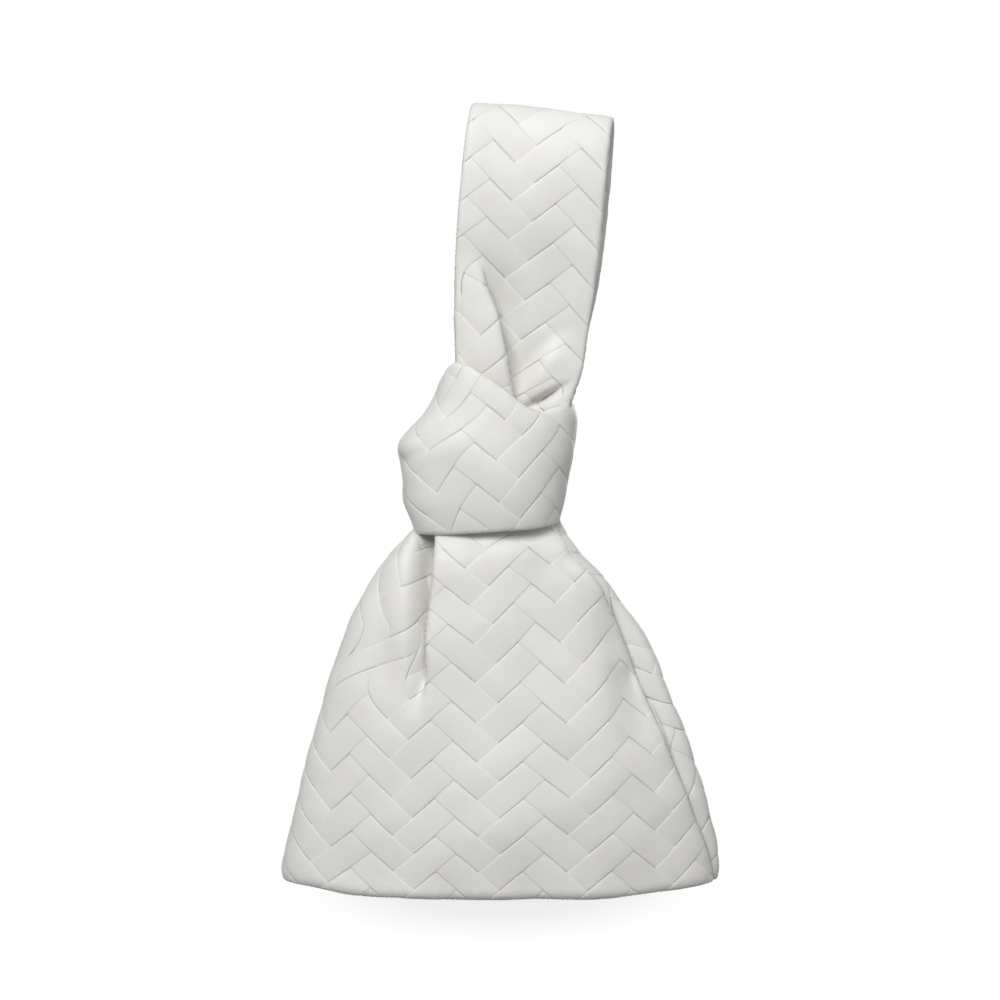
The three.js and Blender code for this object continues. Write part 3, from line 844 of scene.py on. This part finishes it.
def frontPanel():
    line = through(front["pleatLine"])(rows.z)
    limit = front["splitLimit"]
    split = np.arccos(np.clip((line - rows.middle) / rows.half, -limit, limit))
    angle = splitColumns(math.pi + rows.beyond, split, rows.seam, front["columns"], front["crowd"])
    skin = frontFolds(lumpy(onPouch(angle, -1)), (angle - rows.seam) * rows.depth)
    skin = tucked(skin, (angle - math.pi) / rows.seam)
    points = panelSheet(skin)
    length = runLength(points, 1)
    columns = np.arange(skin.shape[1])
    middleColumn = np.array([[np.interp(-math.pi / 2, -row, columns)] for row in angle])
    middleColumn = downToFoot(middleColumn)[:, 0] + lipCount
    centre = [np.interp(c, np.arange(length.shape[1]), row) for c, row in zip(middleColumn, length)]
    across = length - np.array(centre)[:, None]
    heightColumn = front["heightColumn"]
    along = runLength(points, 0)[:, heightColumn:heightColumn + 1] + 0 * across
    pleatColumn = lipCount + front["columns"][0]
    fromPleat = across - across[:, pleatColumn:pleatColumn + 1]
    calm = front["pleatCalm"]
    relief = 1 - calm["share"] * bell(fromPleat, calm["width"]) * downToFoot(smooth(rows.z, *calm["rise"]))
    relief = relief * calmed(points, 1, ("first", "last")) * calmed(points, 0, ("first",))
    folded = bell(fromPleat[lipCount:, lipCount:-lipCount], front["linedWidth"])
    folded = folded * smooth(rows.z, front["pleatEnd"], front["pleatFull"])
    lined = suedeSheet["depth"] - front["linedCloser"] * folded
    turn = front["plaitTurn"] * smooth(rows.z, *front["turnRise"])
    hidden = downToFoot(np.cumsum(np.sin(turn) * np.gradient(rows.z, axis=0), axis=0))
    turn = downToFoot(turn)
    left = np.minimum(fromPleat, 0.0)
    across = across + left * (np.cos(turn) - 1) - smooth(-left, 0.0, front["turnHidden"]) * hidden
    piece = plaited("front_plait", points, flatPlan(across, along + left * np.sin(turn)), relief, ("foot",))
    lining = liningSheet("front_lining_suede", skin[liningGrid], lined[liningGrid])
    return piece, lining, skin


back = {
    "facing": (2 * mm, 9 * mm),
    "gather": {"out": 2.0 * mm, "x": -4 * mm, "across": 8.5 * mm, "rise": (95 * mm, 170 * mm)},
    "sway": {"out": 1.0 * mm, "across": 33 * mm, "left": 0.0, "up": 30 * mm, "low": 0.6},
    "halfColumns": 84,
    "crowd": 1.0,  # evenly spaced
    # strips stand out more beside the right seam
    "proud": {"share": 0.6, "reach": 0.6, "z": 90 * mm, "high": 40 * mm},
}


def backFolds(points):
    x, y, z = axesOf(points)
    gather = back["gather"]
    out = smooth(z, *gather["rise"]) * gather["out"] * np.sin((x - gather["x"]) / gather["across"])
    out += sway(x, z, back["sway"])
    y += out * smooth(y, *back["facing"])
    return np.stack([x, y, z], axis=-1)


def backPanel():
    half = back["halfColumns"]
    middle = math.pi / 2 + 0 * rows.z
    angle = splitColumns(-rows.beyond, middle, math.pi - rows.seam, (half, half), back["crowd"])
    skin = tucked(backFolds(lumpy(onPouch(angle, 1))), -angle / rows.seam)
    points = panelSheet(skin)
    across, along = acrossAndUp(points, lipCount + half)
    relief = calmed(points, 1, ("first", "last")) * calmed(points, 0, ("first",))
    proud = back["proud"]
    bySeam = smooth(-across, proud["reach"] * across.max(), across.max())
    bySeam = bySeam * bell(downToFoot(rows.z) - proud["z"], proud["high"])
    relief = relief * (1 + proud["share"] * bySeam)
    piece = plaited("back_plait", points, flatPlan(across, along), relief, ("foot",))
    lining = liningSheet("back_lining_suede", skin[liningGrid])
    return piece, lining, skin


frontPlait, frontLining, frontSkin = frontPanel()
backPlait, backLining, backSkin = backPanel()


# Base: a plaited panel with its edge rolled up behind the panels, and the lining on the board

base = {
    "columns": 220,
    "rings": 34,
    "innermost": 0.002,  # share of the rim
    "inset": 4.8 * mm,
    "lift": 1.3 * mm,
    "liningShare": 0.97,
    "liningLift": 4.4 * mm,
    "liningWall": 0.9 * mm,
}


def basePieces():
    turn = np.linspace(0, 2 * math.pi, base["columns"], endpoint=False)[None]
    around = onPouch(turn + 0 * rows.z, -1)[0]
    outwards = unit(around * (1 / halfWidth ** 2, 1 / halfDepth ** 2, 0))
    rim = around - base["inset"] * outwards
    disc = rim[None] * np.linspace(1, base["innermost"], base["rings"])[:, None, None]
    disc[..., 2] = cornerLift(disc[..., 0] / halfWidth) + base["lift"]
    points = withRolledFoot(disc, np.broadcast_to((0, 0, -1.0), disc.shape), pouch["footRun"])
    fromMiddle = runLength(points[::-1], 0)[::-1]
    beyond = np.maximum(fromMiddle - fromMiddle[lipCount], 0)
    spread = np.concatenate([np.repeat(disc[:1], lipCount, axis=0), disc]) + outwards * beyond[..., None]
    piece = plaited("base_plait", points, flatPlan(spread[..., 0], -spread[..., 1]),
                    calmed(points, 0, ("first",)), wrap=True)
    top = disc * (base["liningShare"], base["liningShare"], 1) + (0, 0, base["liningLift"])
    lining = liningSheet("base_lining_suede", top, 0.0, base["liningWall"], wrap=True)
    return piece, lining


basePlait, baseLining = basePieces()


# Knot band: one wide band wrapped round the neck, its tail laid over its start at the back

knot = {
    # places in mm, by height above the foot in mm
    "leftEdge": [(0, -41.4), (6, -43.6), (14, -47), (24, -47.6), (34, -48.8), (40, -49.4), (43, -48.4),
                 (46, -45.6), (53, -38.8), (63, -32), (72, -29), (84, -27.4)],
    "rightEdge": [(0, 29), (8, 30), (16, 31.6), (27, 33.3), (37, 35.6), (46, 37), (55, 37), (60, 35.6),
                  (64, 33.4), (84, 28)],
    "halfDepth": [(0, 22), (18, 25), (36, 26.4), (56, 25.4), (70, 23.6), (84, 22)],
    # crown height above the foot, by angle in degrees from the right by way of the front
    "crown": [(-130, 60), (-60, 60.5), (0, 62.5), (28, 61), (45, 59.5), (68, 59.5), (78, 63.5),
              (85, 67.2), (94, 72), (103, 75), (116, 78.4), (130, 80.2), (140, 80.6), (150, 79),
              (166, 73.4), (190, 66.5), (230, 60.5), (300, 60)],
    "squareness": 0.86,
    "footRise": 5.2,  # the foot is higher on the right
    "behind": math.radians(270),
    "overlap": math.radians(34),
    "tailLift": 3.4 * mm,
    "tailRise": (0.8, 0.93),  # shares of the band's length
    "facing": (0.0, 8 * mm),
    # valley that sets off the lobe at the right of the crown
    "ear": {"x": 22 * mm, "z": 236 * mm, "slant": -0.85, "depth": 1.6 * mm, "width": 4.5 * mm,
            "rise": (218 * mm, 232 * mm)},
    # crease from the left corner
    "facet": {"x": -46 * mm, "z": 211 * mm, "slant": 0.62, "depth": 1.1 * mm, "width": 4 * mm,
              "leftOf": (14 * mm, 40 * mm)},
    "sway": {"out": 0.8 * mm, "across": 15 * mm, "left": 0.7, "up": 14 * mm, "low": 0.0},
    "rows": 52,
    "columns": 176,
    "plaitRow": 20,  # the plait is measured along this row, from this column
    "plaitColumn": 76,
    "plaitTurn": math.radians(-8),
}


def knotSkin(angle, climb, lifted):
    crown = through(knot["crown"])(np.degrees(angle))
    foot = knot["footRise"] * (1 + np.cos(angle)) / 2
    height = foot + (crown - foot) * climb
    left, right, depth = (through(knot[key])(height) for key in ("leftEdge", "rightEdge", "halfDepth"))
    cosine, sine = np.cos(angle), np.sin(angle)
    inset = (pouch["leather"] - lifted) / mm
    middle, half = (left + right) / 2, (right - left) / 2 - inset
    x = middle + half * np.sign(cosine) * np.abs(cosine) ** knot["squareness"]
    y = -(depth - inset) * np.sign(sine) * np.abs(sine) ** knot["squareness"]
    return np.stack([x, y, height], axis=-1) * mm + (0, 0, neckZ)


def knotFolds(points):
    x, y, z = axesOf(points)
    facing = smooth(-y, *knot["facing"])
    ear, facet = knot["ear"], knot["facet"]
    valley = bell(besideLine(x, z, ear), ear["width"]) * smooth(z, *ear["rise"])
    crease = bell(aboveLine(x, z, facet), facet["width"]) * smooth(-x, *facet["leftOf"])
    out = sway(x, z, knot["sway"]) - (ear["depth"] * valley + facet["depth"] * crease) * facing
    return points + out[..., None] * outwardOf(points)


def knotBand():
    span = 2 * math.pi + knot["overlap"]
    share = np.linspace(0, 1, knot["columns"])[None]
    angle = knot["behind"] + knot["overlap"] / 2 - share * span
    lifted = knot["tailLift"] * smooth(share, *knot["tailRise"])
    climb = np.linspace(0, 1, knot["rows"])[:, None]
    skin = knotFolds(lumpy(knotSkin(angle + 0 * climb, climb + 0 * angle, lifted + 0 * climb)))
    points = withRolledTop(skin)
    points = withRolledSides(withRolledFoot(points, outwardOf(points)))
    ringRow, start = lipCount + knot["plaitRow"], lipCount + knot["plaitColumn"]
    around = runLength(points[ringRow:ringRow + 1], 1)
    up = runLength(points, 0)
    across = around - around[:, start:start + 1] + 0 * up
    along = up - up[lipCount:lipCount + 1]
    c, s = math.cos(knot["plaitTurn"]), math.sin(knot["plaitTurn"])
    flat = np.stack([c * across - s * along, s * across + c * along], axis=-1)
    relief = calmed(points, 1, ("first", "last")) * calmed(points, 0, ("first", "last"))
    piece = plaited("knot_plait", points, flat, relief, ("foot", "top"))
    return piece, liningSheet("knot_lining_suede", skin[1:-1, 1:-1])


knotPlait, knotLining = knotBand()


# Handle: the strap from its front root in the knot, over the loop and down to its back root

strap = {
    # places in mm, by height above the fold in mm: in front of the middle, to the right, and half the width
    "side": [(-86, 8.5), (-60, 9), (-36, 9.5), (-16, 8.6), (0, 8), (12, 8.6), (28, 10.4), (46, 12.6),
             (62, 13.6), (78, 12.8), (90, 10), (97.5, 6.0), (100.6, 2.8), (101.4, 0)],
    "middle": [(-86, -12), (-60, -7.5), (-38, -3.4), (-20, -0.9), (0, 0), (102, 0)],
    "halfWidth": [(-86, 20), (-60, 23), (-38, 26.2), (-24, 28.6), (-8, 30.2), (12, 31.8), (34, 32.6),
                  (70, 32.8), (102, 32.4)],
    "lean": math.radians(5.9),
    "leanRise": (-34, 2),
    "skew": 0.12,  # the back layer lies a little to the right of the front one
    "skewRise": (-10, 30),
    "footX": -1.0,
    "rows": 300,
    "columns": 66,
    "edgeRun": 15 * mm,
    "foldEnd": (274 * mm, 312 * mm),  # the folds below run out between these heights
    # the left part lies over the middle along this line
    "slit": {"x": -1 * mm, "z": 259 * mm, "slant": -0.185, "step": 6.8 * mm, "sharp": 2.7 * mm,
             "width": 9 * mm, "overlap": 3.5, "overlapWidth": 5 * mm},
    "swell": {"out": 2.6 * mm, "left": 11 * mm, "width": 9 * mm},  # beside the slit
    "hollow": {"depth": 2.2 * mm, "right": 10 * mm, "width": 8 * mm},
    # diagonal fold from the right edge down to the middle
    "ridge": {"x": 19 * mm, "z": 258 * mm, "slant": 0.68, "out": 3.0 * mm, "sharp": 3.5 * mm,
              "width": 13 * mm, "end": (256 * mm, 276 * mm)},
    # pressed in over the knot's right lobe
    "pocket": {"x": 20 * mm, "z": 239 * mm, "slant": 0.6, "depth": 6.5 * mm, "width": 2.3 * mm,
               "middle": 22 * mm, "reach": 6.5 * mm},
    "backFold": {"out": 2.2 * mm, "x": 4 * mm, "across": 6.5 * mm},
    "bendBelow": 13 * mm,  # the strap bends between these distances from the joint
    "bendAbove": 20 * mm,
}


def strapSkin():
    heights, depths = np.array(strap["side"], float).T
    pathY = np.concatenate([-depths, depths[-2::-1]])
    pathS = np.concatenate([heights, heights[-2::-1]])
    place = np.insert(np.cumsum(np.hypot(np.diff(pathY), np.diff(pathS))), 0, 0.0)
    at = np.linspace(0, place[-1], strap["rows"])
    y = through(list(zip(place, pathY)))(at)[:, None]
    s = through(list(zip(place, pathS)))(at)[:, None]
    local = through(strap["halfWidth"])(s) * np.linspace(-1, 1, strap["columns"])[None]
    lean = strap["lean"] * smooth(s, *strap["leanRise"])
    middle = hinge[0] / mm + strap["footX"] + through(strap["middle"])(s)
    x = middle + local * np.cos(lean) + np.maximum(s, 0) * np.sin(lean)
    x = x + strap["skew"] * y * smooth(s, *strap["skewRise"])
    z = hinge[2] / mm - local * np.sin(lean) + s * np.where(s > 0, np.cos(lean), 1)
    isFront = (at < place[-1] / 2)[:, None].astype(float)
    return np.stack([x, y + 0 * local, z], axis=-1) * mm, isFront


def strapFolds(points, isFront):
    x, y, z = axesOf(points)
    low = 1 - smooth(z, *strap["foldEnd"])
    slit, swell, hollow = strap["slit"], strap["swell"], strap["hollow"]
    gap = besideLine(x, z, slit)
    out = swell["out"] * bell(gap + swell["left"], swell["width"])
    out = out - slit["step"] * np.tanh(gap / slit["sharp"]) * bell(gap, slit["width"])
    out = out - hollow["depth"] * bell(gap - hollow["right"], hollow["width"])
    ridge, pocket = strap["ridge"], strap["pocket"]
    off = besideLine(x, z, ridge)
    raised = np.tanh(off / ridge["sharp"]) * bell(off, ridge["width"])
    out = out + ridge["out"] * raised * (1 - smooth(z, *ridge["end"]))
    pressed = bell(aboveLine(x, z, pocket), pocket["width"]) * bell(x - pocket["middle"], pocket["reach"])
    out = out - pocket["depth"] * pressed
    x = x - slit["overlap"] * bell(gap, slit["overlapWidth"]) * gap * low * isFront
    fold = strap["backFold"]
    behind = fold["out"] * np.sin((x - fold["x"]) / fold["across"])
    y = y - out * low * isFront + behind * low * (1 - isFront)
    return np.stack([x, y, z], axis=-1)


def handleStrap():
    points, isFront = strapSkin()
    skin = strapFolds(lumpy(points), isFront)
    points = withRolledSides(skin, strap["edgeRun"])
    flat = flatPlan(*acrossAndUp(points, lipCount + strap["columns"] // 2))
    piece = plaited("handle_plait", points, flat, calmed(points, 1, ("first", "last")))
    return piece, liningSheet("handle_lining_suede", skin[:, 1:-1])


strapPlait, strapLining = handleStrap()


# Seam bindings under the panels' lower edges, and bound edges of the open mouths above them

bound = {
    "seam": {"inward": 2.2 * mm, "halfAcross": 1.5 * mm, "halfThick": 0.8 * mm},
    "seamOnward": 1.0 * mm,
    "seamTuck": 4 * mm,  # the binding draws back under the panel as it nears the mouth
    "seamTuckRun": 14 * mm,
    "seamPast": 6 * mm,  # it ends this far above the mouth's foot
    "mouth": {"inward": 2.4 * mm, "halfAcross": 0.9 * mm, "halfThick": 0.7 * mm},
    "mouthOnward": 0.4 * mm,
    "mouthShort": 3 * mm,  # it ends this far below the knot
    "sides": 14,
    "squareness": 0.55,
}


def alongEdge(name, skin, rowsKept, onward, shape):
    # a solid strip with a rounded section along a panel's edge, closed at both ends
    outward = outwardOf(skin)[:, -1]
    step = unit(skin[:, -1] - skin[:, -2])
    onward = onward * np.ones(len(skin))
    path = (skin[:, -1] + onward[:, None] * step - shape["inward"] * outward)[rowsKept]
    along = unit(np.gradient(path, axis=0))
    across = unit(np.cross(along, outward[rowsKept]))
    outward = np.cross(across, along)
    turn = np.linspace(0, 2 * math.pi, bound["sides"], endpoint=False)
    cosine, sine = np.cos(turn)[:, None], np.sin(turn)[:, None]
    width = np.sign(cosine) * np.abs(cosine) ** bound["squareness"] * shape["halfAcross"]
    height = np.sign(sine) * np.abs(sine) ** bound["squareness"] * shape["halfThick"]
    rings = path[:, None] + width * across[:, None] + height * outward[:, None]
    firstRing = np.arange(bound["sides"])
    lastRing = firstRing + (len(path) - 1) * bound["sides"]
    faces = list(gridFaces(len(path), bound["sides"], wrap=True)) + [firstRing[::-1], lastRing]
    return addSmooth(name, rings, faces, binding)


def bindings():
    made = []
    height = rows.z[:, 0]
    foot = pouch["mouthFoot"]
    closed = height < foot + bound["seamPast"]
    opened = (height > foot) & (height < neckZ - bound["mouthShort"])
    drawnBack = smooth(height, foot - bound["seamTuckRun"], foot)
    seamOnward = bound["seamOnward"] - bound["seamTuck"] * drawnBack
    kinds = [("_seam_binding_leather", closed, seamOnward, bound["seam"])]
    kinds.append(("_mouth_edge_leather", opened, bound["mouthOnward"], bound["mouth"]))
    for side, skin in (("right", frontSkin), ("left", backSkin)):
        for name, *kind in kinds:
            made.append(alongEdge(side + name, skin, *kind))
    return made


rightSeam, rightMouth, leftSeam, leftMouth = bindings()
print("bindings made")


# Which body each piece moves with and which solids it stands for

for piece, body, solid, slotName in (
        (frontPlait, "pouch", "front_panel", "woven_leather"),
        (backPlait, "pouch", "back_panel", "woven_leather"),
        (basePlait, "pouch", "base_panel", "woven_leather"),
        (frontLining, "pouch", "front_lining", "lining"),
        (backLining, "pouch", "back_lining", "lining"),
        (baseLining, "pouch", "base_lining", "lining"),
        (rightSeam, "pouch", "right_seam_binding", "plain_leather"),
        (leftSeam, "pouch", "left_seam_binding", "plain_leather"),
        (rightMouth, "pouch", "right_mouth_edge", "plain_leather"),
        (leftMouth, "pouch", "left_mouth_edge", "plain_leather"),
        (knotPlait, "knot", "knot_band", "woven_leather"),
        (knotLining, "knot", "knot_lining", "lining")):
    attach(piece, body)
    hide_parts(solid)

for piece, solids, slotName in (
        (strapPlait, ("handle_strap", "front_strap_root", "back_strap_root"), "woven_leather"),
        (strapLining, ("handle_lining", "handle_tape"), "lining")):
    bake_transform(piece)
    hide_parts(*solids)

boardNode = frame["nodes"]["base_board"]
boardNode.data.materials.clear()
boardNode.data.materials.append(board)


# Studio: pale floor, white backdrop, soft light from above and in front

studio = {
    "floorSize": 6.0,
    "floorTone": (0.3, 0.3, 0.3, 1),
    "floorShade": 0.2,  # share of the floor's own shading that the camera sees under the bag: its real shadow, plus painted shadow, as the grey matte is darker than the white round it even where lit
    "shadeReach": (0.04, 0.105),
    "white": (1, 1, 1, 1),
    "key": {"place": (-0.45, -1.5, 1.5), "size": 1.4, "power": 35.5},
    "fill": {"place": (0.8, -1.7, 0.75), "size": 1.2, "power": 4.0},
    "rear": {"place": (0.5, 1.5, 0.5), "size": 1.2, "power": 13.0},
    "world": 0.21,
    "aim": (0.0, 0.0, 0.19),
    "lens": 100.0,
    "sensor": 36.0,
    "distance": 1.335,
    "elevation": math.radians(7.0),
    "farthest": 20,
}


def seenDirectly(tree):  # camera, mirror and glass rays
    path = node(tree, "ShaderNodeLightPath").outputs
    seen = calc(tree, "MAXIMUM", path["Is Camera Ray"], path["Is Glossy Ray"])
    return calc(tree, "MAXIMUM", seen, path["Is Transmission Ray"])


def addFloor():
    half = studio["floorSize"] / 2
    corners = [(-half, -half, 0), (half, -half, 0), (half, half, 0), (-half, half, 0)]
    floor = addObject("floor", makeMesh("floor", corners, [(0, 1, 2, 3)]))
    material = bpy.data.materials.new("paleFloor")
    material.use_nodes = True
    tree = material.node_tree
    tree.nodes.clear()
    matte = node(tree, "ShaderNodeBsdfDiffuse", {"Color": studio["floorTone"]}).outputs[0]
    white = node(tree, "ShaderNodeEmission", {"Color": studio["white"], "Strength": 1.0}).outputs[0]
    away = node(tree, "ShaderNodeVectorMath", {0: objectPlace(tree)}, operation="LENGTH").outputs["Value"]
    # a soft disc under the bag where the grey matte shows: painted shadow on top of the real one
    near = mapped(tree, away, *studio["shadeReach"], studio["floorShade"], 0.0,
                  interpolation_type="SMOOTHSTEP")
    share = calc(tree, "MULTIPLY", seenDirectly(tree), calc(tree, "SUBTRACT", 1.0, near))
    shader = node(tree, "ShaderNodeMixShader", {0: share, 1: matte, 2: white}).outputs[0]
    node(tree, "ShaderNodeOutputMaterial", {"Surface": shader})
    floor.data.materials.append(material)


def addWorld():
    world = bpy.data.worlds.new("studio")
    world.use_nodes = True
    bpy.context.scene.world = world
    tree = world.node_tree
    tree.nodes.clear()
    light = {"Color": studio["white"], "Strength": studio["world"]}
    soft = node(tree, "ShaderNodeBackground", light).outputs[0]
    white = node(tree, "ShaderNodeBackground", {"Color": studio["white"], "Strength": 1.0}).outputs[0]
    shader = node(tree, "ShaderNodeMixShader", {0: seenDirectly(tree), 1: soft, 2: white}).outputs[0]
    node(tree, "ShaderNodeOutputWorld", {"Surface": shader})


def turnedAlong(direction):
    return direction.to_track_quat("-Z", "Y").to_euler()


def addLamp(name):
    light = bpy.data.lights.new(name, "AREA")
    light.shape = "DISK"
    light.size = studio[name]["size"]
    light.energy = studio[name]["power"]
    lamp = addObject(name, light)
    lamp.location = studio[name]["place"]
    lamp.rotation_euler = turnedAlong(Vector(studio["aim"]) - Vector(studio[name]["place"]))


def addCamera():
    camera = addObject("camera", bpy.data.cameras.new("camera"))
    camera.data.lens = studio["lens"]
    camera.data.sensor_width = studio["sensor"]
    tilt = studio["elevation"]
    away = Vector((0, -math.cos(tilt), math.sin(tilt)))
    camera.location = Vector(studio["aim"]) + away * studio["distance"]
    camera.rotation_euler = turnedAlong(-away)
    camera.data.clip_end = studio["farthest"]
    bpy.context.scene.camera = camera


addFloor()
addWorld()
for lampName in ("key", "fill", "rear"):
    addLamp(lampName)
addCamera()
bpy.context.scene.view_settings.view_transform = "Standard"
print("studio set")
